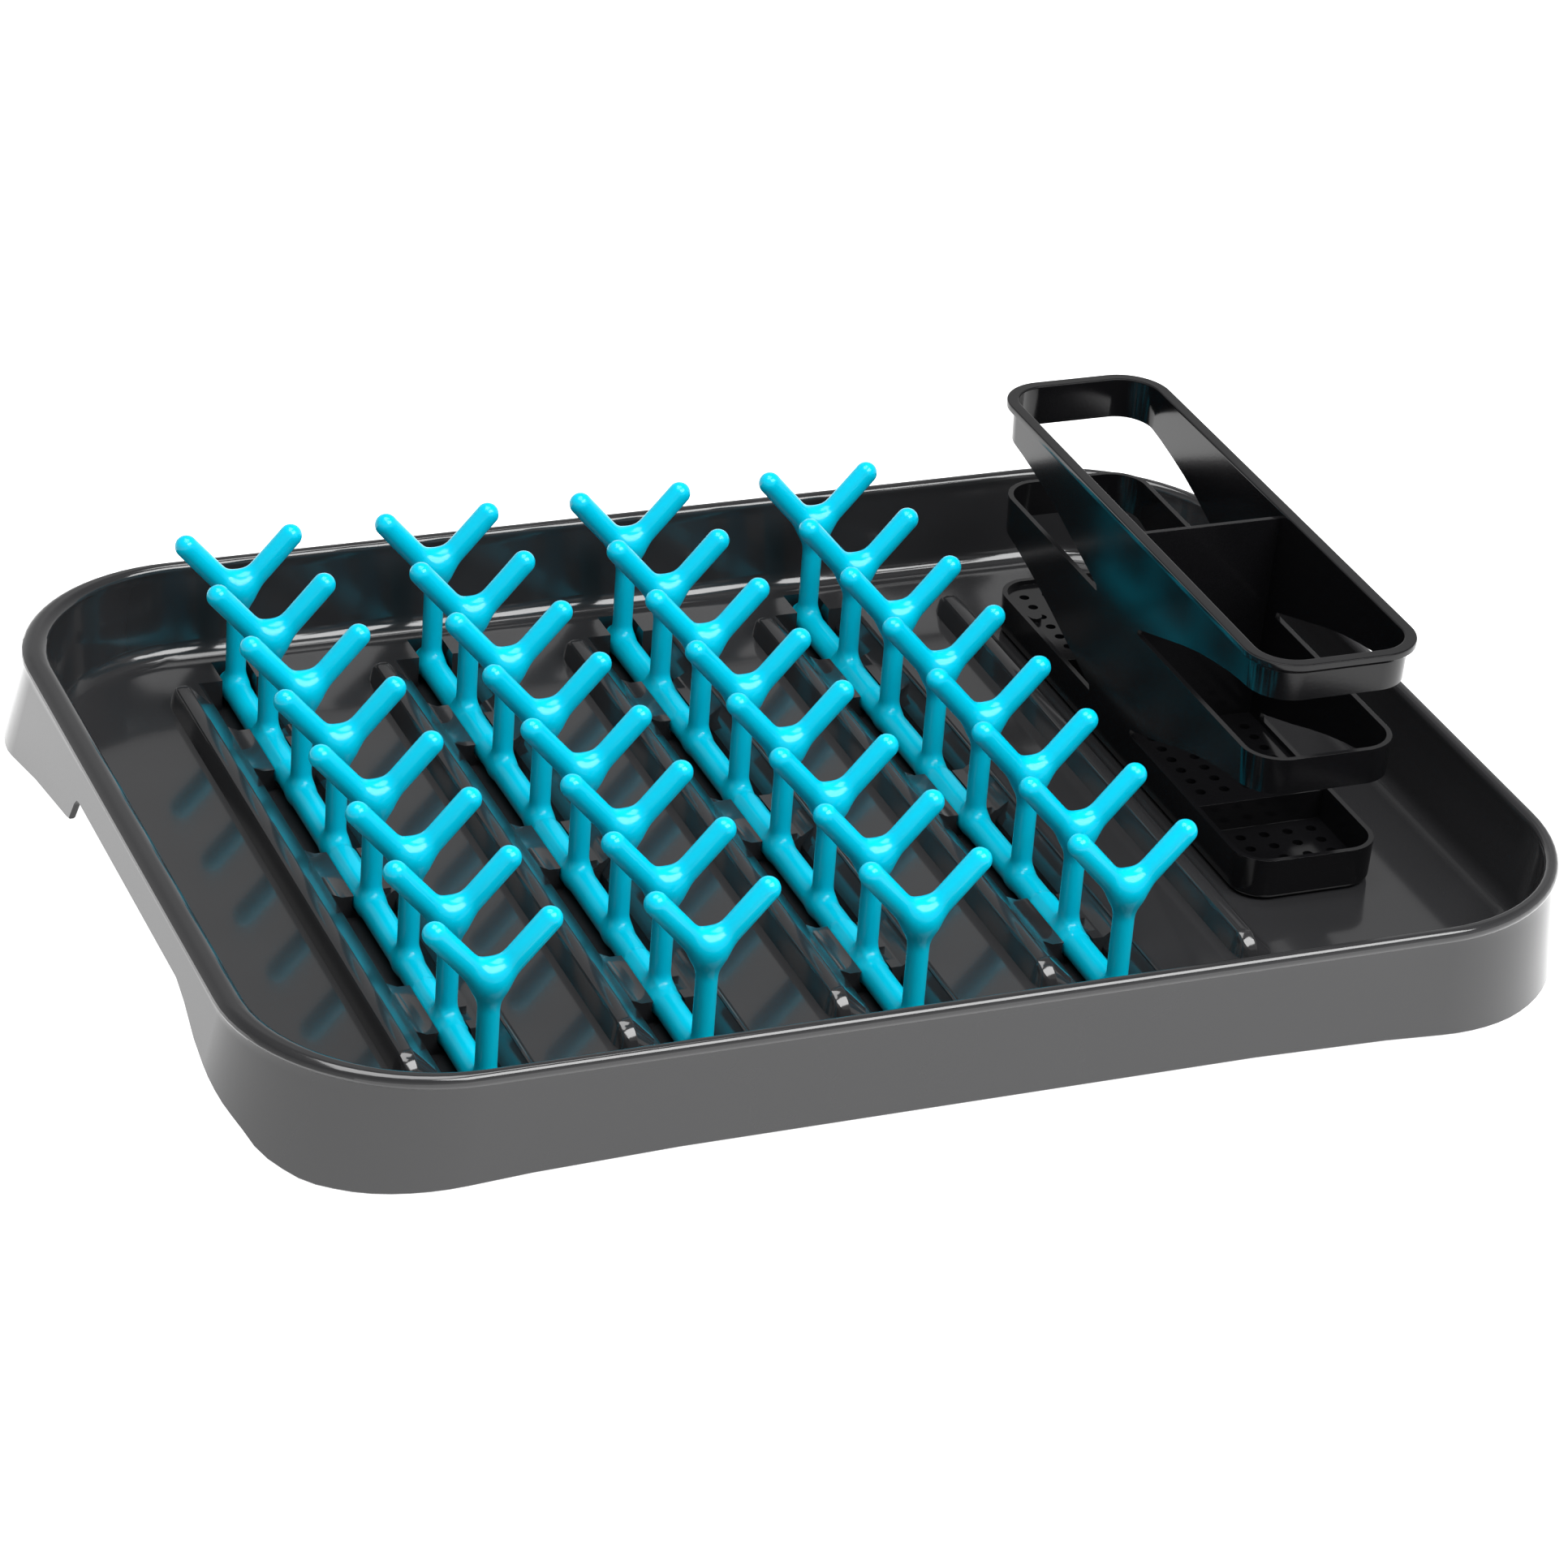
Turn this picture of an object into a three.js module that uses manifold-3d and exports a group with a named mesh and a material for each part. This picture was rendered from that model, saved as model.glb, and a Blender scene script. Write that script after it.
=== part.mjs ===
// Dish drying rack: a moulded drip tray with four tilting plate racks and a lift-out cutlery caddy.
// Millimetres, +Z up. The origin is on the table under the middle of the tray.
// X runs along the tray's long side, Y from its front edge to its back edge.
import * as THREE from "three";
import { mergeVertices } from "three/addons/utils/BufferGeometryUtils.js";
import Module from "manifold-3d";

const wasm = await Module();
wasm.setup();

// Shared
const FIT_GAP = 0.3; // clearance between pieces that touch
const MERGE_TOLERANCE = 1e-4;
const CORNER_SEGMENTS = 6; // facets in each rounded corner of the tray and caddy

// Tray shell
const FLOOR_TOP = 15.8;
const FLOOR_BOTTOM = 13.4;
const TRAY_WALL = 2.3;
const RIM_HEIGHT = 48.1;
// Middle line of the rolled rim, and the roll's half thickness, which is more along the left side
const RIM_BOX = { left: -228.8, right: 236, front: -178.5, back: 178.5, radius: 64.5 };
const BEAD = { radius: 2.6, leftHalfWidth: 4.6, sides: 6 };
// Inner face of the tub at the rim and at the floor
const TUB_RIM = { left: -224.5, right: 233.6, front: -176.1, back: 176.1, radius: 62.1 };
const TUB_FLOOR = { left: -220.5, right: 229.6, front: -172.1, back: 172.1, radius: 58 };
const TUB_FILLET = 5; // bottom edge inside the tub
const TUB_CLEARANCE = 5; // the cutter for the tub's inside stands this far above the rim
// The skirt flares out towards the table, most of all below the left corners
const APRON_TOP = { left: -231.3, right: 237.6, front: -180.1, back: 180.1, radius: 66.1 };
const APRON_FOOT = { left: -240.9, right: 240.9, front: -183.4, back: 183.4, radius: 69.4, height: 7 };
const APRON_REACH = 260; // cutters for the skirt's lower edge run this far from the centre
const CORNER_START = { x: 171.5, y: 114 }; // the rim is straight between these and starts to turn beyond them

// Lower edge of the skirt, from the middle of a side out to its corner: [distance, height]
const LONG_SIDE_EDGE = [[0, 15.2], [100, 14.6], [150, 13.4], [200, 10.5], [APRON_REACH, 9]];
const SHORT_SIDE_EDGE = [[0, 15], [70, 14], [110, 12.5], [150, 10], [APRON_REACH, 9]];
// The left side is cut away in a hand-hold between its two corners: [y, height]
const HAND_HOLD = [
  [-APRON_REACH, 9], [-165, 10.5], [-150.9, 14.3], [-141.5, 19.3], [-123, 24.2], [-101.9, 28.1], [-86.7, 32.8],
  [-75.6, 35.2], [43.5, 35.2], [45.6, 34.6], [46.8, 32.8], [46.8, 26.8], [50.5, 26], [86.9, 21], [119.8, 14.8],
  [139.2, 12.6], [165, 10.5], [APRON_REACH, 9],
];

// Racks
const RACK_COUNT = 4;
const RACK_PITCH = 74.5;
const FIRST_RACK_X = -145.5;
const SPINE_Z = 9.3;
const SPINE = { radius: 5, sides: 10, front: -130.5, back: 162.5, endRound: 2.5 };
const JOURNAL = { radius: 5.6, sides: 8, endGap: 1 }; // eight flats click into the saddle every 45 degrees
const PRONG_ROWS = 8;
const PRONG_PITCH = 40;
const FRONT_PRONG_Y = -124.75;
const POST = { radius: 3.8, sides: 8 };
const FORK_HEIGHT = 40.5; // where the two arms leave the post, above the spine's axis
const FOLD_LIMIT = THREE.MathUtils.degToRad(45); // a rack tips this far towards +X, one click of its journals
const ARM = { tipHeight: 59.5, tipSpread: 19.3, radius: 4.15, sides: 8 };

// Rails in the tray floor, measured from each spine's axis
const RIDGE_COUNT = RACK_COUNT + 1; // one more stands between the last rack and the caddy
const RIDGE_TOP = 24;
const RIDGE = { front: -128, back: 142, wall: 2.2, leastHalfWidth: 0.5 };
// How a ridge rises from each end: [distance from the end, share of its full height]
const RIDGE_RISE = [[0, 0.35], [3.5, 0.8], [9, 1]];
const RIDGE_PROFILE = [
  [-14.6, 14.6], [-15.4, FLOOR_TOP], [-23.4, RIDGE_TOP], [-26.6, RIDGE_TOP], [-28.8, 22.2], [-30, FLOOR_TOP],
  [-30, 14.6],
];
const CHANNEL = { front: -134.5, back: 150, wall: 2, cutTop: 30, floor: 3.7 };
const SPINE_SLOT = { halfWidth: 6.4, back: 164.5 }; // the channel's narrow end, round the spine's end
// The channel that a spine lies in: its lower half is a straight-sided gutter
const CHANNEL_PROFILE = [[-15.4, FLOOR_TOP], [-13.4, 13.8], [-13.4, CHANNEL.floor], [9.6, CHANNEL.floor],
  [9.6, 8], [14.2, FLOOR_TOP], [14.2, CHANNEL.cutTop], [-15.4, CHANNEL.cutTop]];
const TROUGH_PROFILE = [[-17.4, 14.6], [-15.4, 12.6], [-15.4, 1.7], [11.6, 1.7], [11.6, 7.4], [16.4, 14.6]];
const SADDLE = { length: 31, pitch: 91.3, middleY: 12.75, count: 3, boreGap: 0.35, boreSides: 12 };
const SADDLE_PROFILE = [[-14.2, 13.2], [-13.4, 13.8], [-9.5, 11.9], [9.5, 11.9], [13.9, 15.2], [14.5, 13.5],
  [10.6, 7], [10.6, 2.7], [-14.4, 2.7], [-14.4, 13]];
const SWING_GAP = 0.5; // left around a post where it swings down through a saddle

// Feet
const FOOT_POSTS = [
  ["foot_pad_front_left", -192, -140], ["foot_pad_front_right", 194, -140],
  ["foot_pad_back_left", -192, 138], ["foot_pad_back_right", 194, 138],
];
const FOOT_POST = { radius: 12, bottom: 2.6, boreRadius: 9.6, boreTop: 11.6, sides: 12 };
const PAD = { radius: 11.5, edge: 1, plugRadius: 9.1, plugTop: 7.6, sides: 12 };

// Cutlery caddy
const CADDY = { x: 166.8, y: 16.8, bottom: FLOOR_TOP + 0.4, top: 110.9, wall: 1.9 };
const CADDY_FOOTPRINT = { halfX: 26.4, halfY: 109.5, radius: 12 };
const CADDY_DRAFT = { x: 3.1, y: 3.3, radius: 3 }; // how much larger the mouth is on each side
const CADDY_EDGE = 1.5;
const CADDY_FLANGE = { out: 2.7, start: 106.6, full: 108.4 };
const DEEP_FLOOR_TOP = 19.1;
const RAISED_FLOOR_TOP = 30.1;
const UNDERSIDE_INSET = 3.4;
const PAST_END = 10; // cutters run this far past the face they go through
const DIVIDER = { y: 12.25, thickness: 1.8, top: 108 };
const FRONT_STEP_Y = -46.4;
const REAR_STEP_Y = 66.8;
const STEP_WALL = 1.8;
const HOLE = { radius: 1.9, sides: 6, columns: 5, columnPitch: 9.2, rowPitch: 8.1, above: 1 };
// Rows of drain holes: [first row's y, rows, height of the floor they go through]
const HOLE_FIELDS = [[-79.1, 4, DEEP_FLOOR_TOP], [-38.6, 6, RAISED_FLOOR_TOP], [22, 5, DEEP_FLOOR_TOP],
  [75, 6, RAISED_FLOOR_TOP]];
const STRIP_MIDDLE_Y = 21; // solid strip of side wall between the front and rear slots
// Front slots of the long walls: [y, height], tip first, running out past the end wall
const UPPER_SLOT = [[3.5, 72.4], [2.5, 74.6], [-8, 78.2], [-32, 86.4], [-56, 92.4], [-75, 95.2], [-120, 95.8],
  [-120, 72.4]];
const LOWER_SLOT = [[3.5, 32], [2.5, 34.2], [-8, 37.6], [-32, 46], [-56, 53.5], [-75, 57.8], [-120, 58.8],
  [-120, 32]];
const CADDY_KNOB = { x: 144.6, y: 97.5, radius: 2.6, height: 4.5 };

// Materials
const GREY_PLASTIC = new THREE.MeshStandardMaterial({ color: 0x47474a, roughness: 0.25, metalness: 0 });
const CYAN_PLASTIC = new THREE.MeshStandardMaterial({ color: 0x00bfdc, roughness: 0.35, metalness: 0 });
const BLACK_PLASTIC = new THREE.MeshStandardMaterial({ color: 0x111112, roughness: 0.25, metalness: 0 });
const BLACK_RUBBER = new THREE.MeshStandardMaterial({ color: 0x1c1c1c, roughness: 0.9, metalness: 0 });

// A three.js geometry as a manifold-3d solid.
function solidOf(geometry) {
  const source = geometry.index ? geometry.toNonIndexed() : geometry;
  const bare = new THREE.BufferGeometry().setAttribute("position", source.getAttribute("position"));
  const merged = mergeVertices(bare, MERGE_TOLERANCE);
  return new wasm.Manifold(
    new wasm.Mesh({
      numProp: 3,
      vertProperties: merged.attributes.position.array,
      triVerts: new Uint32Array(merged.index.array),
    }),
  );
}

// A manifold-3d solid as a three.js mesh.
function meshOf(name, solid, material) {
  const data = solid.getMesh();
  const geometry = new THREE.BufferGeometry();
  geometry.setAttribute("position", new THREE.BufferAttribute(new Float32Array(data.vertProperties), 3));
  geometry.setIndex(new THREE.BufferAttribute(new Uint32Array(data.triVerts), 1));
  geometry.computeVertexNormals();
  const mesh = new THREE.Mesh(geometry, material);
  mesh.name = name;
  return mesh;
}

function union(solids) {
  return wasm.Manifold.union(solids);
}

// A rounded rectangle at height z, counter-clockwise from above, grown by offset on every side.
function roundedRing({ left, right, front, back, radius }, z, offset = 0) {
  const corners = [
    [right - radius, front + radius, -Math.PI / 2],
    [right - radius, back - radius, 0],
    [left + radius, back - radius, Math.PI / 2],
    [left + radius, front + radius, Math.PI],
  ];
  return corners.flatMap(([x, y, start]) =>
    Array.from({ length: CORNER_SEGMENTS + 1 }, (_, i) => {
      const angle = start + (i / CORNER_SEGMENTS) * (Math.PI / 2);
      const reach = radius + offset;
      return new THREE.Vector3(x + reach * Math.cos(angle), y + reach * Math.sin(angle), z);
    }),
  );
}

// The box at a share t of the way from one rounded rectangle to another.
function blendBoxes(from, to, t) {
  const mixed = {};
  for (const key of Object.keys(from)) mixed[key] = THREE.MathUtils.lerp(from[key], to[key], t);
  return mixed;
}

// A skin over rings of equal length: closed on itself like a tyre, or capped at its first and last ring.
function loft(rings, looped = false) {
  const count = rings[0].length;
  const points = rings.flat();
  const index = [];
  const bands = looped ? rings.length : rings.length - 1;
  for (let i = 0; i < bands; i++) {
    const low = i * count;
    const high = ((i + 1) % rings.length) * count;
    for (let j = 0; j < count; j++) {
      const next = (j + 1) % count;
      index.push(low + j, low + next, high + next, low + j, high + next, high + j);
    }
  }
  if (!looped) {
    addCap(points, index, 0, count, true);
    addCap(points, index, (rings.length - 1) * count, count, false);
  }
  const geometry = new THREE.BufferGeometry().setFromPoints(points);
  geometry.setIndex(index);
  return solidOf(geometry);
}

function addCap(points, index, first, count, reversed) {
  const centre = new THREE.Vector3();
  for (let j = 0; j < count; j++) centre.addScaledVector(points[first + j], 1 / count);
  points.push(centre);
  const hub = points.length - 1;
  for (let j = 0; j < count; j++) {
    const next = first + ((j + 1) % count);
    if (reversed) index.push(hub, next, first + j);
    else index.push(hub, first + j, next);
  }
}

function outline(points) {
  return new THREE.Shape(points.map(([u, v]) => new THREE.Vector2(u, v)));
}

// An [x, z] profile, shifted by x, swept from y0 to y1.
function prismAlongY(profile, x, y0, y1) {
  const geometry = new THREE.ExtrudeGeometry(outline(profile), { depth: y1 - y0, bevelEnabled: false });
  geometry.rotateX(Math.PI / 2).translate(x, y1, 0);
  return solidOf(geometry);
}

// A [y, z] profile swept from x0 to x1.
function prismAlongX(profile, x0, x1) {
  const geometry = new THREE.ExtrudeGeometry(outline(profile), { depth: x1 - x0, bevelEnabled: false });
  const turn = new THREE.Matrix4().makeBasis(
    new THREE.Vector3(0, 1, 0), new THREE.Vector3(0, 0, 1), new THREE.Vector3(1, 0, 0),
  );
  geometry.applyMatrix4(turn).translate(x0, 0, 0);
  return solidOf(geometry);
}

function block(x0, x1, y0, y1, z0, z1) {
  const geometry = new THREE.BoxGeometry(x1 - x0, y1 - y0, z1 - z0);
  geometry.translate((x0 + x1) / 2, (y0 + y1) / 2, (z0 + z1) / 2);
  return solidOf(geometry);
}

function uprightCylinder(radius, sides, x, y, z0, z1) {
  const geometry = new THREE.CylinderGeometry(radius, radius, z1 - z0, sides);
  geometry.rotateX(Math.PI / 2).translate(x, y, (z0 + z1) / 2);
  return solidOf(geometry);
}

// Middle y of the saddles that carry every spine.
const SADDLE_CENTRES = Array.from(
  { length: SADDLE.count }, (_, i) => SADDLE.middleY + (i - (SADDLE.count - 1) / 2) * SADDLE.pitch,
);

const PRONG_YS = Array.from({ length: PRONG_ROWS }, (_, i) => FRONT_PRONG_Y + i * PRONG_PITCH);

function rackX(i) {
  return FIRST_RACK_X + i * RACK_PITCH;
}

// The tub's inner face at height z, grown by offset.
function tubRing(z, offset) {
  const t = THREE.MathUtils.clamp((z - FLOOR_TOP) / (RIM_HEIGHT - FLOOR_TOP), 0, 1);
  return roundedRing(blendBoxes(TUB_FLOOR, TUB_RIM, t), z, offset);
}

function tubSkin(offset, floor, top) {
  const bend = TUB_FILLET * (1 - Math.SQRT1_2);
  return loft([
    tubRing(floor, offset - TUB_FILLET),
    tubRing(floor + bend, offset - bend),
    tubRing(floor + TUB_FILLET, offset),
    tubRing(top, offset),
  ]);
}

function rimBead() {
  const rings = Array.from({ length: BEAD.sides }, (_, i) => {
    const angle = (i / BEAD.sides) * 2 * Math.PI;
    const extra = (BEAD.leftHalfWidth - BEAD.radius) * Math.cos(angle);
    const box = { ...RIM_BOX, left: RIM_BOX.left - extra };
    return roundedRing(box, RIM_HEIGHT + BEAD.radius * Math.sin(angle), BEAD.radius * Math.cos(angle));
  });
  return loft(rings, true);
}

// Everything below a side's lower edge, mirrored about the middle of that side.
function mirroredUnder(edge) {
  const far = [...edge].reverse().map(([d, z]) => [-d, z]);
  return [...far, ...edge.slice(1), [APRON_REACH, 0], [-APRON_REACH, 0]];
}

function apron() {
  const outer = loft([roundedRing(APRON_FOOT, APRON_FOOT.height), roundedRing(APRON_TOP, RIM_HEIGHT)]);
  const inner = loft([
    roundedRing(APRON_FOOT, APRON_FOOT.height - 1, -TRAY_WALL),
    roundedRing(APRON_TOP, RIM_HEIGHT + 1, -TRAY_WALL),
  ]);
  const longSides = mirroredUnder(LONG_SIDE_EDGE);
  const handHold = [...HAND_HOLD, [APRON_REACH, 0], [-APRON_REACH, 0]];
  return outer
    .subtract(inner)
    .subtract(prismAlongY(longSides, 0, -APRON_REACH, -CORNER_START.y))
    .subtract(prismAlongY(longSides, 0, CORNER_START.y, APRON_REACH))
    .subtract(prismAlongX(mirroredUnder(SHORT_SIDE_EDGE), CORNER_START.x, APRON_REACH))
    .subtract(prismAlongX(handHold, -APRON_REACH, -CORNER_START.x));
}

// One ridge of the floor with its two ends run down to the floor; offset shrinks it for the hollow below.
function ridge(x, offset) {
  const middle = (RIDGE_PROFILE[0][0] + RIDGE_PROFILE.at(-1)[0]) / 2;
  const section = (y, scale) =>
    RIDGE_PROFILE.map(([u, z]) => {
      const side = u - middle;
      const narrowed = middle + Math.sign(side) * Math.max(Math.abs(side) - offset, RIDGE.leastHalfWidth);
      const raised = FLOOR_BOTTOM + (z - FLOOR_BOTTOM) * scale - offset;
      return new THREE.Vector3(x + narrowed, y, Math.max(raised, FLOOR_BOTTOM - offset));
    });
  const front = RIDGE.front + offset;
  const back = RIDGE.back - offset;
  return loft([
    ...RIDGE_RISE.map(([distance, scale]) => section(back - distance, scale)),
    ...RIDGE_RISE.map(([distance, scale]) => section(front + distance, scale)).reverse(),
  ]);
}

function saddle(x, y) {
  return prismAlongY(SADDLE_PROFILE, x, y - SADDLE.length / 2, y + SADDLE.length / 2);
}

// A channel for one spine, wide along the prongs and narrow round the spine's back end.
function channel(x) {
  const { halfWidth, back } = SPINE_SLOT;
  const slot = [[-halfWidth, CHANNEL.floor], [halfWidth, CHANNEL.floor], [halfWidth, CHANNEL.cutTop],
    [-halfWidth, CHANNEL.cutTop]];
  return union([
    prismAlongY(CHANNEL_PROFILE, x, CHANNEL.front, CHANNEL.back),
    prismAlongY(slot, x, CHANNEL.front, back),
  ]);
}

// The walls round a channel, seen from below as a trough.
function trough(x) {
  const half = SPINE_SLOT.halfWidth + CHANNEL.wall;
  const bottom = CHANNEL.floor - CHANNEL.wall;
  const top = FLOOR_BOTTOM + FIT_GAP;
  const slot = [[-half, bottom], [half, bottom], [half, top], [-half, top]];
  return union([
    prismAlongY(TROUGH_PROFILE, x, CHANNEL.front - CHANNEL.wall, CHANNEL.back + CHANNEL.wall),
    prismAlongY(slot, x, CHANNEL.back, SPINE_SLOT.back + CHANNEL.wall),
  ]);
}

// The bore that each journal turns in.
function spineBore(x, y) {
  const radius = (JOURNAL.radius + SADDLE.boreGap) / Math.cos(Math.PI / SADDLE.boreSides);
  const geometry = new THREE.CylinderGeometry(radius, radius, SADDLE.length + 1, SADDLE.boreSides);
  geometry.translate(x, y, SPINE_Z);
  return solidOf(geometry);
}

// The room a post needs to swing down through the right-hand side of a saddle.
function swingNotch(x, y) {
  const clear = POST.radius + SWING_GAP;
  const reach = SADDLE_PROFILE[4][0] + 1;
  const start = [clear * Math.cos(FOLD_LIMIT), SPINE_Z - clear * Math.sin(FOLD_LIMIT)];
  const end = [reach, start[1] + (reach - start[0]) / Math.tan(FOLD_LIMIT)];
  const profile = [[0, SPINE_Z], start, end, [reach, CHANNEL.cutTop], [0, CHANNEL.cutTop]];
  return prismAlongY(profile, x, y - clear, y + clear);
}

function tray() {
  const racks = Array.from({ length: RACK_COUNT }, (_, i) => rackX(i));
  const ridges = Array.from({ length: RIDGE_COUNT }, (_, i) => rackX(i));
  const inside = tubSkin(0, FLOOR_TOP, RIM_HEIGHT + TUB_CLEARANCE);
  const tub = tubSkin(TRAY_WALL, FLOOR_BOTTOM, RIM_HEIGHT).subtract(inside);
  const posts = FOOT_POSTS.map(([, x, y]) =>
    uprightCylinder(FOOT_POST.radius, FOOT_POST.sides, x, y, FOOT_POST.bottom, FLOOR_TOP - 1),
  );
  const rails = [...ridges.map((x) => ridge(x, 0)), ...racks.map(trough)];
  const solid = union([tub, apron(), rimBead(), ...rails, ...posts]);
  const channels = racks.map(channel);
  const hollows = ridges.map((x) => ridge(x, RIDGE.wall));
  const sockets = FOOT_POSTS.map(([, x, y]) =>
    uprightCylinder(FOOT_POST.boreRadius, FOOT_POST.sides, x, y, 0, FOOT_POST.boreTop),
  );
  const carved = solid.subtract(union([...channels, ...hollows, ...sockets]));
  const saddles = racks.flatMap((x) => SADDLE_CENTRES.map((y) => saddle(x, y)));
  const bores = racks.flatMap((x) => SADDLE_CENTRES.map((y) => spineBore(x, y)));
  const notches = racks.flatMap((x) => PRONG_YS.map((y) => swingNotch(x, y)));
  return union([carved, ...saddles]).subtract(union([...bores, ...notches]));
}

// A capsule from one point to another.
function capsule(from, to, radius, sides, capSegments) {
  const along = new THREE.Vector3().subVectors(to, from);
  const geometry = new THREE.CapsuleGeometry(radius, along.length(), capSegments, sides);
  const turn = new THREE.Quaternion().setFromUnitVectors(new THREE.Vector3(0, 1, 0), along.normalize());
  const middle = new THREE.Vector3().addVectors(from, to).multiplyScalar(0.5);
  geometry.applyQuaternion(turn).translate(middle.x, middle.y, middle.z);
  return solidOf(geometry);
}

// A rod that starts flat at one point and ends in a dome about another.
function fingerTo(from, to) {
  const along = new THREE.Vector3().subVectors(to, from);
  const length = along.length();
  const bend = ARM.radius * Math.SQRT1_2;
  const profile = [
    [0, 0], [ARM.radius, 0], [ARM.radius, length], [bend, length + bend], [0, length + ARM.radius],
  ];
  const geometry = new THREE.LatheGeometry(profile.map(([r, h]) => new THREE.Vector2(r, h)), ARM.sides);
  const turn = new THREE.Quaternion().setFromUnitVectors(new THREE.Vector3(0, 1, 0), along.normalize());
  geometry.applyQuaternion(turn).translate(from.x, from.y, from.z);
  return solidOf(geometry);
}

function prong(x, y) {
  const fork = new THREE.Vector3(x, y, SPINE_Z + FORK_HEIGHT);
  const post = new THREE.CylinderGeometry(POST.radius, POST.radius, FORK_HEIGHT, POST.sides);
  post.rotateY(Math.PI / POST.sides).rotateX(Math.PI / 2).translate(x, y, SPINE_Z + FORK_HEIGHT / 2);
  const arms = [-1, 1].map((side) => {
    const tip = new THREE.Vector3(x + side * ARM.tipSpread, y, SPINE_Z + ARM.tipHeight);
    return fingerTo(fork, tip);
  });
  return union([solidOf(post), ...arms]);
}

// The spine: a round bar whose two ends have rounded edges.
function spineBar(x) {
  const { radius, front, back, endRound, sides } = SPINE;
  const profile = [
    [0, front], [radius - endRound, front], [radius, front + endRound],
    [radius, back - endRound], [radius - endRound, back], [0, back],
  ];
  const geometry = new THREE.LatheGeometry(profile.map(([r, y]) => new THREE.Vector2(r, y)), sides);
  return solidOf(geometry.translate(x, 0, SPINE_Z));
}

function rack(x) {
  const spine = spineBar(x);
  const journals = SADDLE_CENTRES.map((y) => {
    const length = SADDLE.length - 2 * JOURNAL.endGap;
    const geometry = new THREE.CylinderGeometry(JOURNAL.radius, JOURNAL.radius, length, JOURNAL.sides);
    geometry.rotateY(Math.PI / JOURNAL.sides).translate(x, y, SPINE_Z);
    return solidOf(geometry);
  });
  const prongs = PRONG_YS.map((y) => prong(x, y));
  return union([spine, ...journals, ...prongs]);
}

function footPad(x, y) {
  const shoulder = FOOT_POST.bottom - FIT_GAP;
  const profile = [
    [0, 0], [PAD.radius - PAD.edge, 0], [PAD.radius, PAD.edge], [PAD.radius, shoulder],
    [PAD.plugRadius, shoulder], [PAD.plugRadius, PAD.plugTop], [0, PAD.plugTop],
  ].map(([r, z]) => new THREE.Vector2(r, z));
  const geometry = new THREE.LatheGeometry(profile, PAD.sides);
  geometry.rotateX(Math.PI / 2).translate(x, y, 0);
  return solidOf(geometry);
}

// The caddy's outer face at height z, grown by offset.
function caddyRing(z, offset) {
  const t = THREE.MathUtils.clamp((z - CADDY.bottom) / (CADDY.top - CADDY.bottom), 0, 1);
  const halfX = CADDY_FOOTPRINT.halfX + CADDY_DRAFT.x * t;
  const halfY = CADDY_FOOTPRINT.halfY + CADDY_DRAFT.y * t;
  const radius = CADDY_FOOTPRINT.radius + CADDY_DRAFT.radius * t;
  const box = {
    left: CADDY.x - halfX, right: CADDY.x + halfX, front: CADDY.y - halfY, back: CADDY.y + halfY, radius,
  };
  return roundedRing(box, z, offset);
}

function caddyFill(z0, z1, inset) {
  return loft([caddyRing(z0, -inset), caddyRing(z1, -inset)]);
}

// The part of a caddy fill between two values of y.
function caddySlice(z0, z1, inset, y0, y1) {
  const reach = CADDY_FOOTPRINT.halfX + CADDY_DRAFT.x;
  return caddyFill(z0, z1, inset).intersect(
    block(CADDY.x - reach, CADDY.x + reach, y0, y1, z0 - 1, z1 + 1),
  );
}

function caddyShell() {
  return loft([
    caddyRing(CADDY.bottom, -CADDY_EDGE),
    caddyRing(CADDY.bottom + CADDY_EDGE, 0),
    caddyRing(CADDY_FLANGE.start, 0),
    caddyRing(CADDY_FLANGE.full, CADDY_FLANGE.out),
    caddyRing(CADDY.top, CADDY_FLANGE.out),
  ]);
}

// A slot for the front end, and its mirror image for the rear end.
function slotPair(profile) {
  const half = CADDY_FOOTPRINT.halfX + CADDY_DRAFT.x + CADDY_FLANGE.out + 1;
  const mirrored = profile.map(([y, z]) => [2 * STRIP_MIDDLE_Y - y, z]).reverse();
  return [profile, mirrored].map((points) => prismAlongX(points, CADDY.x - half, CADDY.x + half));
}

function drainHoles() {
  const holes = [];
  for (const [firstY, rows, floor] of HOLE_FIELDS) {
    for (let row = 0; row < rows; row++) {
      for (let column = 0; column < HOLE.columns; column++) {
        const x = CADDY.x + (column - (HOLE.columns - 1) / 2) * HOLE.columnPitch;
        const y = firstY + row * HOLE.rowPitch;
        holes.push(uprightCylinder(HOLE.radius, HOLE.sides, x, y, floor - PAST_END, floor + HOLE.above));
      }
    }
  }
  return union(holes);
}

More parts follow.
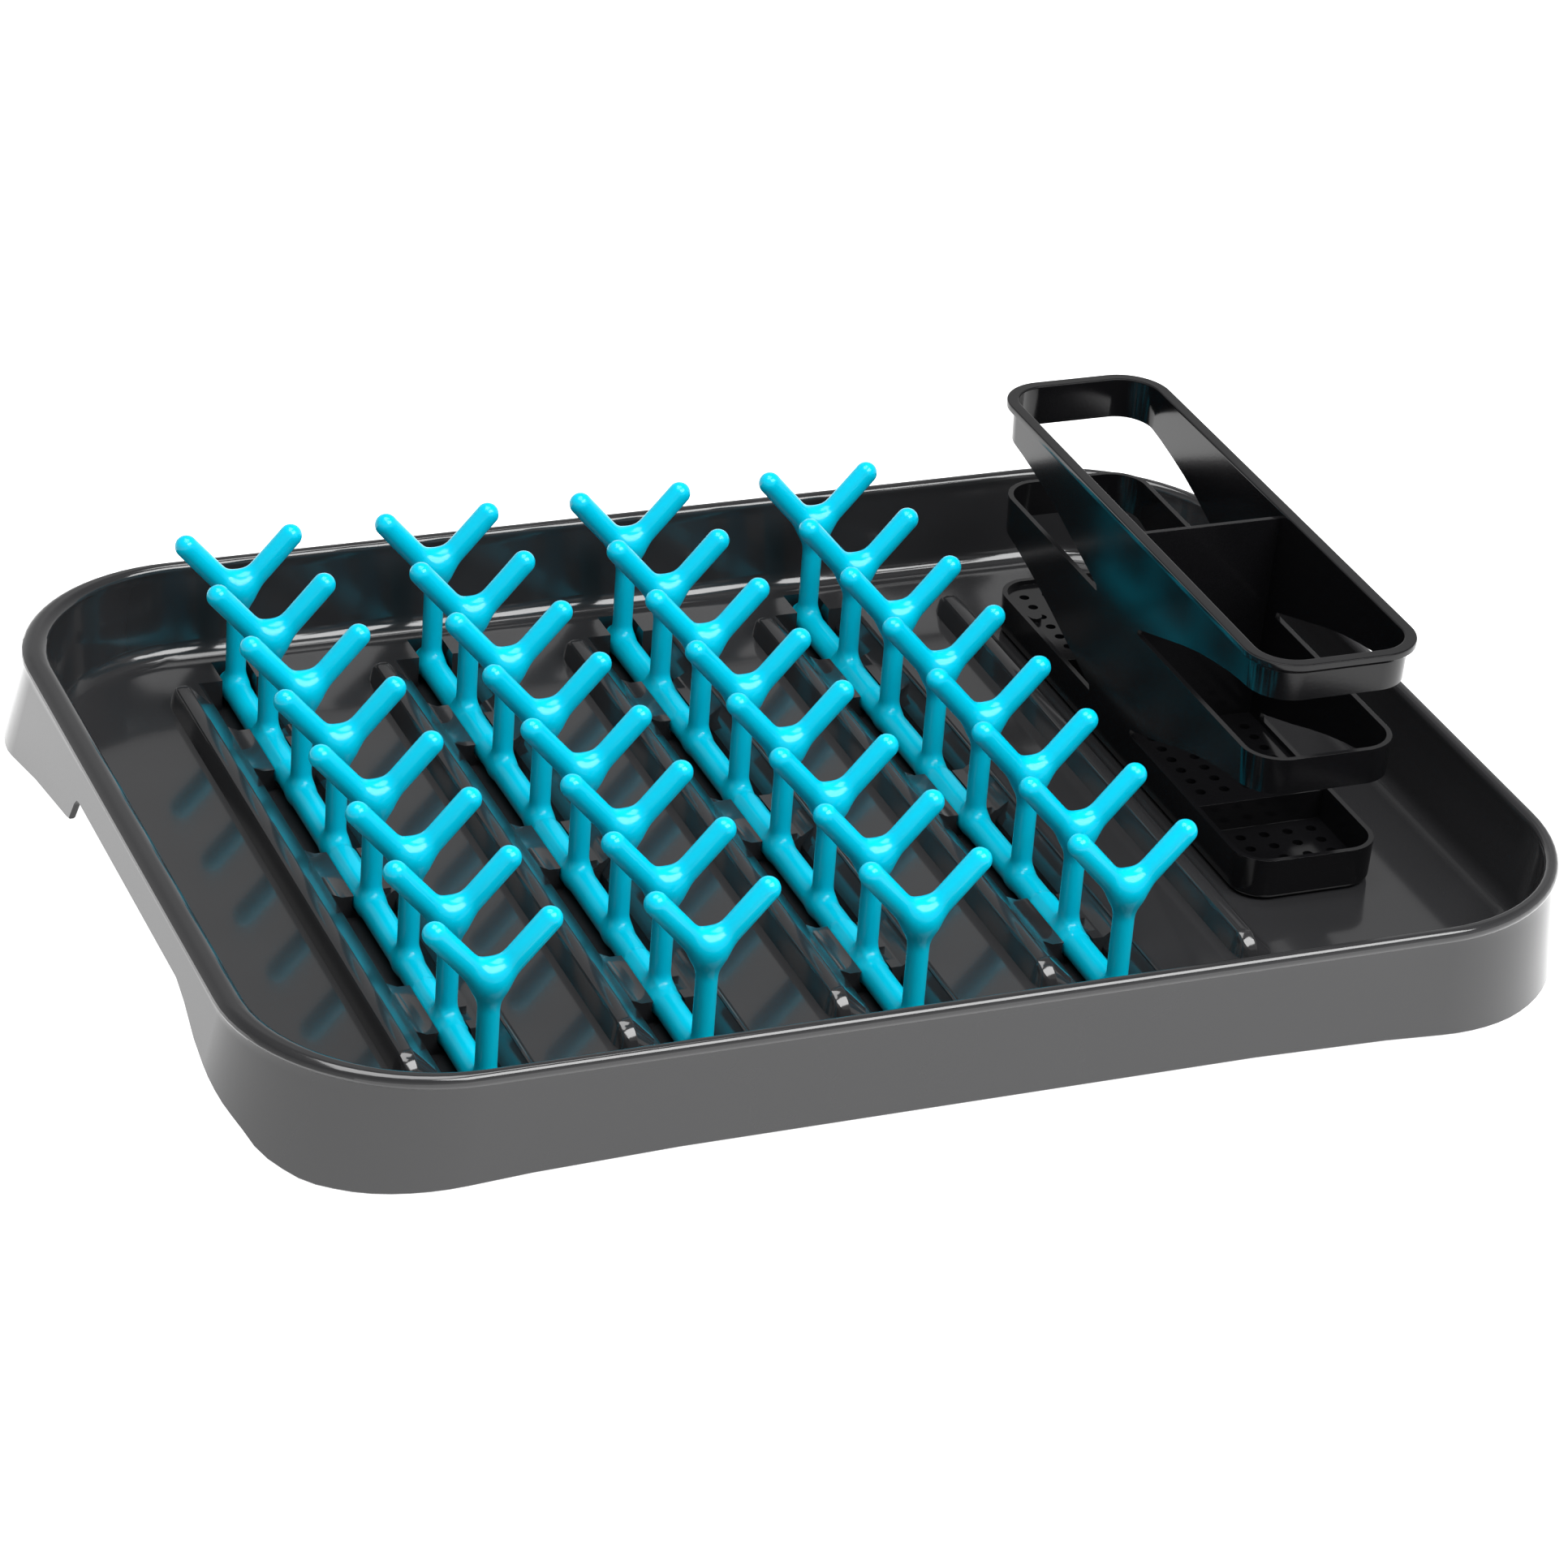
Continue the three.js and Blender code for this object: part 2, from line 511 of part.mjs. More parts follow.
function cutleryCaddy() {
  const frontEnd = CADDY.y - CADDY_FOOTPRINT.halfY - PAST_END;
  const rearEnd = CADDY.y + CADDY_FOOTPRINT.halfY + PAST_END;
  const raisedFloorBottom = RAISED_FLOOR_TOP - CADDY.wall;
  const inside = caddyFill(RAISED_FLOOR_TOP, CADDY.top + 1, CADDY.wall);
  const deepEnds = [[frontEnd, FRONT_STEP_Y - STEP_WALL], [DIVIDER.y, REAR_STEP_Y - STEP_WALL]];
  const wells = deepEnds.map(([y0, y1]) =>
    caddySlice(DEEP_FLOOR_TOP, RAISED_FLOOR_TOP + 1, CADDY.wall, y0, y1),
  );
  const raised = [[FRONT_STEP_Y, DIVIDER.y - STEP_WALL], [REAR_STEP_Y, rearEnd]];
  const undersides = raised.map(([y0, y1]) =>
    caddySlice(CADDY.bottom - PAST_END, raisedFloorBottom, UNDERSIDE_INSET, y0, y1),
  );
  const half = DIVIDER.thickness / 2;
  const divider = caddySlice(DEEP_FLOOR_TOP, DIVIDER.top, CADDY.wall / 2, DIVIDER.y - half, DIVIDER.y + half);
  const knobFoot = new THREE.Vector3(CADDY_KNOB.x, CADDY_KNOB.y, RAISED_FLOOR_TOP);
  const knobTop = knobFoot.clone().setZ(RAISED_FLOOR_TOP + CADDY_KNOB.height - CADDY_KNOB.radius);
  const knob = capsule(knobFoot, knobTop, CADDY_KNOB.radius, HOLE.sides, 2);
  return union([caddyShell().subtract(union([inside, ...wells])), divider, knob]).subtract(
    union([...undersides, ...slotPair(UPPER_SLOT), ...slotPair(LOWER_SLOT), drainHoles()]),
  );
}

const dishRack = new THREE.Group();
dishRack.name = "dish_drying_rack";
dishRack.add(meshOf("tray", tray(), GREY_PLASTIC));
for (let i = 0; i < RACK_COUNT; i++) {
  dishRack.add(meshOf(`rack_${i + 1}`, rack(rackX(i)), CYAN_PLASTIC));
}
dishRack.add(meshOf("cutlery_caddy", cutleryCaddy(), BLACK_PLASTIC));
for (const [name, x, y] of FOOT_POSTS) {
  dishRack.add(meshOf(name, footPad(x, y), BLACK_RUBBER));
}

export default dishRack;
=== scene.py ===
"""Looks for the dish drying rack: a glossy grey drip tray, four cyan racks, a black caddy and its foot pads.

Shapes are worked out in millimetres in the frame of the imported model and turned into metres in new_piece.
"""

import itertools
import math

import bmesh
import bpy
import numpy as np
from mathutils import Matrix, Vector


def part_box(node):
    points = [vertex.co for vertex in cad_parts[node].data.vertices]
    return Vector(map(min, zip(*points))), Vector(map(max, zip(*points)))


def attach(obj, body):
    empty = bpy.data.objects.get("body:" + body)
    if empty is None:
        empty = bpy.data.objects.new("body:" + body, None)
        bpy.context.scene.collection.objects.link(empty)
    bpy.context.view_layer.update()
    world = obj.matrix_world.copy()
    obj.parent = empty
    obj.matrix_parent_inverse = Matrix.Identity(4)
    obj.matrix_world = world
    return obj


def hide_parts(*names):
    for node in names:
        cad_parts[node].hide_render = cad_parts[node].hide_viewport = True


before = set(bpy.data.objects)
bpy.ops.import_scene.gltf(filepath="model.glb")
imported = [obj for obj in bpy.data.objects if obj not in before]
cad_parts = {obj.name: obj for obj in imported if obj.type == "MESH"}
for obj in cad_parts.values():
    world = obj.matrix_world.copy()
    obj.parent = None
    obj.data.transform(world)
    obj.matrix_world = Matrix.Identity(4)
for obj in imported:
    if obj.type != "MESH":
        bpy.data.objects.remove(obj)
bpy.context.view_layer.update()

MM = 0.001

# How cut pieces are cleaned and rounded
WELD = 0.002
FLAT_ANGLE = math.radians(0.8)
BEVEL_ANGLE = math.radians(28)
BEVEL_SEGMENTS = 2
SHARP_ANGLE = math.radians(50)
PAD_SHARP_ANGLE = math.radians(40)

# How far cutting tools reach past what they cut, and how high those in the tray go
OVERLAP = 1.0
CUT_TOP = 30.0

# Tray shell
CORNER_SEGMENTS = 18
SIDE_STEP = 7.0
HAND_HOLD_STEP = 1.5
FLOOR_TOP = 15.8
FLOOR_BOTTOM = 13.4
TRAY_WALL = 2.3
TRAY_EDGE = 0.45
RIM_HEIGHT = 48.1
BEAD_RADIUS = 2.6
BEAD_LEFT_HALF_WIDTH = 4.6
# The roll's first and last angle, and its steps
BEAD_TURN = (-40, 200, 12)
# Rounded rectangles: left, right, front, back, corner radius
RIM_BOX = (-228.8, 236.0, -178.5, 178.5, 64.5)
TUB_RIM = (-224.5, 233.6, -176.1, 176.1, 62.1)
TUB_FLOOR = (-220.5, 229.6, -172.1, 172.1, 58.0)
APRON_TOP = (-231.3, 237.6, -180.1, 180.1, 66.1)
APRON_FOOT = (-240.9, 240.9, -183.4, 183.4, 69.4)
# Where the corners begin, from the middle of the tray
CORNER_START = (171.5, 114.0)
TUB_FILLET = 6.0
TUB_FILLET_ANGLES = (68, 45, 22, 0)
TUB_WALL_HEIGHTS = (RIM_HEIGHT - 3, 38, 30, FLOOR_TOP + TUB_FILLET)
UNDERSIDE_ANGLES = (0, 30, 60, 90)
UNDERSIDE_STRIP = 2
# Where the wall's outer face folds over into the skirt's inner face: below the roll, share of the wall
FOLD_DROP = 2.0
FOLD_SHARE = 0.8
APRON_FOOT_HEIGHT = 7.0
APRON_EDGE = 0.5
# The rings of the skirt's two faces, from 0 at the rim to 1 at the lower edge
APRON_INSIDE = (0.02, 0.3, 0.6, 0.9, 1.0)
APRON_OUTSIDE = (1.0, 0.9, 0.6, 0.3, 0.08)
# Height of the skirt's lower edge, against the distance from the middle of the side
LONG_SIDE_EDGE = [(0, 15.2), (100, 14.6), (150, 13.4), (200, 10.5), (260, 9)]
SHORT_SIDE_EDGE = [(0, 15), (70, 14), (110, 12.5), (150, 10), (260, 9)]
# The same along y on the left side, where the edge rises to the hand-hold
HAND_HOLD = [
    (-260, 9), (-165, 10.5), (-150.9, 14.3), (-141.5, 19.3), (-123, 24.2), (-101.9, 28.1),
    (-86.7, 32.8), (-75.6, 35.2), (43.0, 35.2), (45.2, 34.7), (46.3, 33.6), (46.7, 32), (46.9, 27.0),
    (50.5, 26), (86.9, 21), (119.8, 14.8), (139.2, 12.6), (165, 10.5), (260, 9),
]

# Racks
RACK_NODES = sorted(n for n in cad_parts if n.startswith("rack_"))
RACK_XS = [(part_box(n)[0].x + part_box(n)[1].x) / 2 / MM for n in RACK_NODES]
RACK_PITCH = RACK_XS[1] - RACK_XS[0]
SPINE_Z = 9.3
SPINE_RADIUS = 5.0
SPINE_ENDS = (-130.5, 162.5)
SPINE_END_ROUND = 2.5
JOURNAL_RADIUS = 5.5
JOURNAL_HALF = 14.5
JOURNAL_SIDES = 8
JOURNAL_BLEND = 0.6
PRONG_FIRST_Y = -124.75
PRONG_PITCH = 40
PRONG_COUNT = 8
PRONG_YS = [PRONG_FIRST_Y + PRONG_PITCH * i for i in range(PRONG_COUNT)]
POST_RADIUS = 3.7
FORK_HEIGHT = 40.5
ARM_TIP = (19.3, 59.5)
ARM_RADIUS = 4.15
ARM_ROOT = 2.6
CROTCH_BLEND = 9.0
FORK_BLEND = 6.0
ROOT_BLEND = 4.0
GRID_STEP = 0.8
GRID_MARGIN = 1.3
NEWTON_STEPS = 3

# Rails: profiles are (x, z) points, with x from the spine
RIDGE_PROFILE = [
    (-15.0, 13.0), (-15.4, 15.8), (-23.2, 23.7), (-24.0, 24.0), (-26.4, 24.0), (-27.9, 23.5), (-28.7, 22.4),
    (-30, 15.8), (-30.1, 13.0),
]
RIDGE_ENDS = (-128.0, 142.0)
RIDGE_END_LENGTH = 9.0
RIDGE_END_ANGLES = (12, 30, 50, 70, 90)
RIDGE_END_WIDTH = 0.5
RIDGE_LEAST_HALF_WIDTH = 0.4
RIDGE_WALL = 2.2
CHANNEL_ENDS = (-134.5, 150.0)
CHANNEL_WALL = 2.0
# How far the trough under a channel's end reaches up into the floor
CHANNEL_SINK = 0.3
# The narrow channel round the spine's back end: half width, y of its end
SPINE_SLOT = (6.4, 164.5)
CHANNEL_PROFILE = [
    (-15.4, 15.8), (-13.4, 13.8), (-13.4, 3.7), (9.6, 3.7), (9.6, 8), (14.2, 15.8), (14.2, CUT_TOP),
    (-15.4, CUT_TOP),
]
TROUGH_PROFILE = [(-17.4, 14.6), (-15.4, 12.6), (-15.4, 1.7), (11.6, 1.7), (11.6, 7.4), (16.4, 14.6)]
SADDLE_YS = [-78.55, 12.75, 104.05]
SADDLE_LENGTH = 31.0
SADDLE_PROFILE = [
    (-14.2, 13.2), (-13.4, 13.8), (-9.5, 11.9), (9.5, 11.9), (13.9, 15.2), (14.5, 13.5), (10.6, 7),
    (10.6, 2.7), (-14.4, 2.7), (-14.4, 13),
]
SADDLE_BORE = 5.95
SADDLE_BORE_SIDES = 32
LIP_PROFILE = [(14.2, 15.2), (14.2, 16.3), (14.7, 16.7), (15.4, 16.6), (16.6, 15.8), (16.6, 15.2)]
FOLD_LIMIT = math.radians(45)
SWING_CLEAR = 4.3
SWING_REACH = 14.9

# Feet: post and socket are radius, bottom and top
PAD_NODES = sorted(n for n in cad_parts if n.startswith("foot_pad"))
FOOT_POST = (12.0, 2.6, 14.8)
FOOT_BORE = (9.6, 0.0, 11.6)
FOOT_SIDES = 40
PAD_SIDES = 48
PAD_RADIUS = 11.5
PAD_SHOULDER = 2.3
PAD_FOOT_ROUND = 1
PAD_SHOULDER_ROUND = 0.4
# The hollow under a pad: in from its edge, height
PAD_HOLLOW = [(3.2, 0.5), (2.6, 0.0)]
PAD_PLUG = (9.1, 7.6)
PAD_PLUG_CHAMFER = 0.6

# Cutlery caddy
CADDY_BOX = [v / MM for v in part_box("cutlery_caddy")]
CADDY_X = (CADDY_BOX[0].x + CADDY_BOX[1].x) / 2
CADDY_Y = (CADDY_BOX[0].y + CADDY_BOX[1].y) / 2
CADDY_BOTTOM = CADDY_BOX[0].z
CADDY_TOP = CADDY_BOX[1].z
CADDY_WALL = 1.9
CADDY_EDGE = 0.4
# Half length along x and y and corner radius at the foot, and how much each grows towards the rim
CADDY_HALF = (26.4, 109.5, 12.0)
CADDY_DRAFT = (3.1, 3.3, 3.0)
CADDY_CORNER_SEGMENTS = 14
DEEP_FLOOR_TOP = 19.1
RAISED_FLOOR_TOP = 30.1
STEP_WALL = 1.8
FLANGE_OUT = 2.7
# The caddy's skin, up the outside, over the flange and down the inside: height, distance out
CADDY_FOOT = [(CADDY_BOTTOM + rise, -inset) for rise, inset in ((0, 2.0), (0.3, 1.0), (1.0, 0.3), (2.0, 0))]
CADDY_SIDE = [
    (92.0, 0), (106.3, 0), (107.0, 0.5), (107.8, 2.0), (108.6, FLANGE_OUT), (110.2, FLANGE_OUT),
    (110.7, FLANGE_OUT - 0.2), (CADDY_TOP, FLANGE_OUT - 0.7), (CADDY_TOP, -CADDY_WALL + 0.7),
    (110.7, -CADDY_WALL + 0.2), (110.2, -CADDY_WALL), (80.0, -CADDY_WALL), (40.0, -CADDY_WALL),
    (RAISED_FLOOR_TOP, -CADDY_WALL),
]
# Two values of y in front of and behind the caddy
CADDY_BEYOND = (-120, 140)
UNDERSIDE_INSET = 3.4
UNDERSIDE_REACH = 2
DIVIDER_Y = 12.25
DIVIDER_THICKNESS = 1.8
DIVIDER_TOP = 108.0
FRONT_STEP_Y = -46.4
REAR_STEP_Y = 66.8
HOLE_RADIUS = 1.9
HOLE_SIDES = 16
HOLE_DEPTH = 4
HOLE_COLUMNS = 5
HOLE_COLUMN_PITCH = 9.2
HOLE_ROW_PITCH = 8.1
# Fields of drain holes: y of the first row, rows, height of the floor
HOLE_FIELDS = [
    (-79.1, 4, DEEP_FLOOR_TOP), (-38.6, 6, RAISED_FLOOR_TOP), (22, 5, DEEP_FLOOR_TOP),
    (75, 6, RAISED_FLOOR_TOP),
]
# The slots' upper edges in front of the strip of wall between the ends, as (y, z) points
STRIP_MIDDLE_Y = 21.0
UPPER_SLOT = [
    (3.6, 73.0), (3.0, 74.6), (-1, 75.9), (-8, 78.2), (-20, 82.2), (-32, 86.2), (-44, 89.6),
    (-56, 92.2), (-66, 94.0), (-75, 95.2), (-85, 95.8),
]
LOWER_SLOT = [
    (3.6, 32.6), (3.0, 34.2), (-1, 35.2), (-8, 37.6), (-20, 41.6), (-32, 46), (-44, 50.0),
    (-56, 53.5), (-66, 56.0), (-75, 57.8), (-85, 58.8),
]
SLOT_BASES = (72.4, 32.0)
SLOT_REACH = -130.0
SLOT_HALF_WIDTH = 40
# The knob: x, y, radius, height above its floor
CADDY_KNOB = (144.6, 97.5, 2.6, 4.5)
KNOB_ROOT = 2
KNOB_TURN = (15, 80, 5)
KNOB_SIDES = 24

# Plastic: the drift of its colour and gloss, its fine relief and its depth of scatter in metres
DRIFT_SCALE = 22.0
DRIFT_DETAIL = 4.0
COLOUR_DRIFT = (0.9, 1.1)
GLOSS_DRIFT = (0.85, 1.15)
PLASTIC_GRAIN = 900.0
RUBBER_GRAIN = 1500.0
RELIEF_DETAIL = 2.0
RELIEF_DEPTH = 0.0002
PLASTIC_IOR = 1.5
COAT_ROUGHNESS = 0.05
SCATTER_DEPTH = 0.002

# Studio: a glowing white table, a grey surround, one softbox overhead and one in front to the right
TABLE_HALF = 12.0
TABLE_COLOUR = (0.45, 0.45, 0.45, 1)
TABLE_ROUGHNESS = 0.9
TABLE_SHINE = 0.1
TABLE_GLOW = 1.1
# The surround's grey against the sine of the elevation
SURROUND = [(-1.0, 0.8), (0.06, 0.85), (0.3, 0.6), (0.52, 0.4), (0.7, 0.15), (0.9, 0.25)]
# Softboxes, which all face the origin: name, place, size, watts
SOFTBOXES = [
    ("overhead_softbox", (-0.15, 0.1, 1.5), (1.1, 0.9), 20),
    ("front_softbox", (0.45, -0.85, 1.3), (1.2, 0.8), 32),
]

# Camera
CAMERA_PLACE = Vector((-0.6657, -1.5264, 0.9467))
CAMERA_LOOK = Vector((0.3601, 0.8000, -0.4799))
CAMERA_ROLL = math.radians(4.765)
CAMERA_LENS = 125.65
CAMERA_SENSOR = 36.0
CAMERA_SHIFT = (-0.0264, -0.0016)
CAMERA_FAR = 50


def new_piece(name, points, faces):
    """A mesh object from millimetre points."""
    mesh = bpy.data.meshes.new(name)
    mesh.from_pydata([tuple(c * MM for c in p) for p in points], [], faces)
    mesh.update()
    obj = bpy.data.objects.new(name, mesh)
    bpy.context.scene.collection.objects.link(obj)
    return obj


def apply_modifiers(obj):
    depsgraph = bpy.context.evaluated_depsgraph_get()
    depsgraph.update()
    mesh = bpy.data.meshes.new_from_object(obj.evaluated_get(depsgraph))
    old = obj.data
    obj.modifiers.clear()
    obj.data = mesh
    mesh.name = obj.name
    bpy.data.meshes.remove(old)
    return obj


def combine(obj, tools, operation):
    """Joins each tool to a solid or cuts it away, and deletes the tools."""
    for tool in tools:
        modifier = obj.modifiers.new("combine", "BOOLEAN")
        modifier.operation = operation
        modifier.solver = "MANIFOLD"
        modifier.object = tool
        apply_modifiers(obj)
        mesh = tool.data
        bpy.data.objects.remove(tool)
        bpy.data.meshes.remove(mesh)
    return obj


def add(obj, tools):
    return combine(obj, tools, "UNION")


def cut(obj, tools):
    return combine(obj, tools, "DIFFERENCE")


def tidy_faces(obj):
    """Merges the slivers that cuts leave, so that flat faces are single faces again."""
    work = bmesh.new()
    work.from_mesh(obj.data)
    bmesh.ops.remove_doubles(work, verts=work.verts, dist=WELD * MM)
    bmesh.ops.dissolve_limit(work, angle_limit=FLAT_ANGLE, verts=work.verts, edges=work.edges)
    work.to_mesh(obj.data)
    work.free()


def round_edges(obj, width):
    tidy_faces(obj)
    bevel = obj.modifiers.new("soften", "BEVEL")
    bevel.width = width * MM
    bevel.segments = BEVEL_SEGMENTS
    bevel.limit_method = "ANGLE"
    bevel.angle_limit = BEVEL_ANGLE
    bevel.use_clamp_overlap = True
    bevel.miter_outer = "MITER_ARC"
    return apply_modifiers(obj)


def shade(obj):
    """Shades all but the sharpest edges smooth, and lets large faces stay flat."""
    smooth(obj, SHARP_ANGLE)
    weigh = obj.modifiers.new("weigh", "WEIGHTED_NORMAL")
    weigh.keep_sharp = True
    return apply_modifiers(obj)


def smooth(obj, sharp_angle):
    obj.data.polygons.foreach_set("use_smooth", [True] * len(obj.data.polygons))
    obj.data.set_sharp_from_angle(angle=sharp_angle)
    return obj


def rounded_ring(box, z, offset, segments, side_steps=(1, 1, 1, 1)):
    """Points round a rounded rectangle, counter-clockwise from above.

    side_steps are the steps along the right, back, left and front sides.
    """
    left, right, front, back, radius = box
    corners = [
        (right - radius, front + radius, -90), (right - radius, back - radius, 0),
        (left + radius, back - radius, 90), (left + radius, front + radius, 180),
    ]
    arcs = []
    for x, y, start in corners:
        turn = [math.radians(start + 90 * i / segments) for i in range(segments + 1)]
        reach = radius + offset
        arcs.append([(x + reach * math.cos(a), y + reach * math.sin(a)) for a in turn])
    points = []
    for i, arc in enumerate(arcs):
        points += arc
        ahead = arcs[(i + 1) % 4][0]
        behind = arc[-1]
        steps = side_steps[i]
        for s in range(1, steps):
            t = s / steps
            points.append((behind[0] + (ahead[0] - behind[0]) * t, behind[1] + (ahead[1] - behind[1]) * t))
    return [(x, y, z) for x, y in points]


def loft(name, rings, looped=False):
    """A skin over rings of equal length, capped at its ends unless looped."""
    count = len(rings[0])
    points = [p for ring in rings for p in ring]
    faces = []
    bands = len(rings) if looped else len(rings) - 1
    for i in range(bands):
        low, high = i * count, (i + 1) % len(rings) * count
        for j in range(count):
            k = (j + 1) % count
            faces.append((low + j, low + k, high + k, high + j))
    if not looped:
        faces.append(tuple(reversed(range(count))))
        faces.append(tuple(range((len(rings) - 1) * count, len(rings) * count)))
    return new_piece(name, points, faces)


def prism_y(name, profile, x, y0, y1):
    """An (x, z) profile swept along Y."""
    flip = signed_area(profile) > 0
    ring = [(x + u, z) for u, z in (profile if flip else reversed(profile))]
    return loft(name, [[(u, y, z) for u, z in ring] for y in (y1, y0)])


def prism_x(name, profile, x0, x1):
    """A (y, z) profile swept along X."""
    flip = signed_area(profile) > 0
    ring = profile if flip else list(reversed(profile))
    return loft(name, [[(x, y, z) for y, z in ring] for x in (x0, x1)])


def signed_area(profile):
    pairs = zip(profile, profile[1:] + profile[:1])
    return sum(a[0] * b[1] - b[0] * a[1] for a, b in pairs) / 2


def block(name, low, high):
    corners = [(low[0], low[1]), (high[0], low[1]), (high[0], high[1]), (low[0], high[1])]
    return loft(name, [[(x, y, z) for x, y in corners] for z in (low[2], high[2])])


def rod(name, x, y, z0, z1, radius, sides):
    turn = [2 * math.pi * i / sides for i in range(sides)]
    ring = [(x + radius * math.cos(a), y + radius * math.sin(a)) for a in turn]
    return loft(name, [[(u, v, z) for u, v in ring] for z in (z0, z1)])


def lathe(name, x, y, profile, sides):
    """A (radius, z) profile, from bottom to top, turned about the upright line through (x, y)."""
    turn = [2 * math.pi * i / sides for i in range(sides)]
    rings = [[(x + r * math.cos(a), y + r * math.sin(a), z) for a in turn] for r, z in profile]
    return loft(name, rings)


def arc(centre, radius, start, end, steps):
    turn = [math.radians(start + (end - start) * i / steps) for i in range(steps + 1)]
    return [(centre[0] + radius * math.cos(a), centre[1] + radius * math.sin(a)) for a in turn]


def height_at(table, where):
    return float(np.interp(where, [d for d, _ in table], [h for _, h in table]))


def skirt_height(x, y):
    """Height of the skirt's lower edge at a point of its outline: the highest of the sides that reach it."""
    heights = []
    if abs(y) > CORNER_START[1]:
        heights.append(height_at(LONG_SIDE_EDGE, abs(x)))
    if x > CORNER_START[0]:
        heights.append(height_at(SHORT_SIDE_EDGE, abs(y)))
    if x < -CORNER_START[0]:
        heights.append(height_at(HAND_HOLD, y))
    return max(heights)


def tray_ring(box, z, offset):
    along, across = (2 * d for d in CORNER_START)
    steps = [round(across / SIDE_STEP), round(along / SIDE_STEP), round(across / HAND_HOLD_STEP),
             round(along / SIDE_STEP)]
    return rounded_ring(box, z, offset, CORNER_SEGMENTS, steps)


def tub_ring(z, offset):
    """The tub's inner face at height z, grown by offset."""
    t = min(max((z - FLOOR_TOP) / (RIM_HEIGHT - FLOOR_TOP), 0), 1)
    box = [a + (b - a) * t for a, b in zip(TUB_FLOOR, TUB_RIM)]
    return tray_ring(box, z, offset)


def bead_ring(out, z):
    """A ring of the rolled rim, out from its middle line; the roll is thicker along the left side."""
    extra = out / BEAD_RADIUS * (BEAD_LEFT_HALF_WIDTH - BEAD_RADIUS)
    return tray_ring((RIM_BOX[0] - extra, *RIM_BOX[1:]), z, out)


def apron_ring(share, inward, lift=0.0):
    """A ring of the skirt: share 0 at the rim, 1 at its lower edge."""
    top = RIM_HEIGHT - BEAD_RADIUS
    foot = tray_ring(APRON_FOOT, 0, 0)
    rim = tray_ring(APRON_TOP, 0, 0)
    grown = tray_ring(APRON_TOP, 0, 1)
    placed = []
    for (fx, fy, _), (rx, ry, _), (gx, gy, _) in zip(foot, rim, grown):
        z = top + (skirt_height(fx, fy) + lift - top) * share
        t = (z - APRON_FOOT_HEIGHT) / (RIM_HEIGHT - APRON_FOOT_HEIGHT)
        x = fx + (rx - fx) * t - (gx - rx) * inward
        y = fy + (ry - fy) * t - (gy - ry) * inward
        placed.append((x, y, z))
    return placed


def tray_shell():
    """Underside, tub wall, skirt, bead, inner wall and floor as one closed skin, from the underside up."""
    under = [(FLOOR_BOTTOM, TRAY_WALL - TUB_FILLET - UNDERSIDE_STRIP)]
    for angle in UNDERSIDE_ANGLES:
        a = math.radians(angle)
        reach = TUB_FILLET * (1 - math.sin(a))
        under.append((FLOOR_BOTTOM + TUB_FILLET * (1 - math.cos(a)), TRAY_WALL - reach))
    rings = [tub_ring(z, offset) for z, offset in under]
    rings.append(tub_ring(RIM_HEIGHT - BEAD_RADIUS - FOLD_DROP, TRAY_WALL * FOLD_SHARE))
    rings += [apron_ring(share, TRAY_WALL) for share in APRON_INSIDE]
    rings.append(apron_ring(1.0, TRAY_WALL - APRON_EDGE, -APRON_EDGE))
    rings.append(apron_ring(1.0, APRON_EDGE, -APRON_EDGE))
    rings += [apron_ring(share, 0.0) for share in APRON_OUTSIDE]
    for out, z in arc((0, RIM_HEIGHT), BEAD_RADIUS, *BEAD_TURN):
        rings.append(bead_ring(out, z))
    for z in TUB_WALL_HEIGHTS:
        rings.append(tub_ring(z, 0))
    for angle in TUB_FILLET_ANGLES:
        a = math.radians(angle)
        z = FLOOR_TOP + TUB_FILLET * (1 - math.cos(a))
        rings.append(tub_ring(z, -TUB_FILLET * (1 - math.sin(a))))
    return loft("tray_shell", rings)


def ridge(x, inset):
    """A ridge with rounded ends; inset shrinks it for the hollow below."""
    middle = (RIDGE_PROFILE[0][0] + RIDGE_PROFILE[-1][0]) / 2

    def section(y, scale):
        points = []
        for u, z in RIDGE_PROFILE:
            side = u - middle
            half_width = abs(side) * (RIDGE_END_WIDTH + (1 - RIDGE_END_WIDTH) * scale) - inset
            narrowed = math.copysign(max(half_width, RIDGE_LEAST_HALF_WIDTH), side)
            raised = FLOOR_BOTTOM + (z - FLOOR_BOTTOM) * scale - inset
            points.append((x + middle + narrowed, y, raised))
        return points

    front, back = RIDGE_ENDS[0] + inset, RIDGE_ENDS[1] - inset
    turns = [math.radians(a) for a in RIDGE_END_ANGLES]
    ends = [(1 - math.cos(a), math.sin(a)) for a in turns]
    places = [(back - RIDGE_END_LENGTH * d, s) for d, s in ends]
    places += [(front + RIDGE_END_LENGTH * d, s) for d, s in reversed(ends)]
    return loft("ridge", [section(y, scale) for y, scale in places])


def channel(x, grow):
    """The channel of one spine, wide along the prongs and narrow round the spine's back end.

    With grow, it is the solid trough under the floor instead, which the channel is then cut from.
    """
    half, back = SPINE_SLOT
    wide = TROUGH_PROFILE if grow else CHANNEL_PROFILE
    low = CHANNEL_PROFILE[2][1] - grow
    high = FLOOR_BOTTOM + CHANNEL_SINK if grow else CUT_TOP
    start = CHANNEL_ENDS[1] if grow else CHANNEL_ENDS[0]
    narrow = [(-half - grow, low), (half + grow, low), (half + grow, high), (-half - grow, high)]
    return [
        prism_y("channel", wide, x, CHANNEL_ENDS[0] - grow, CHANNEL_ENDS[1] + grow),
        prism_y("channel_end", narrow, x, start, back + grow),
    ]


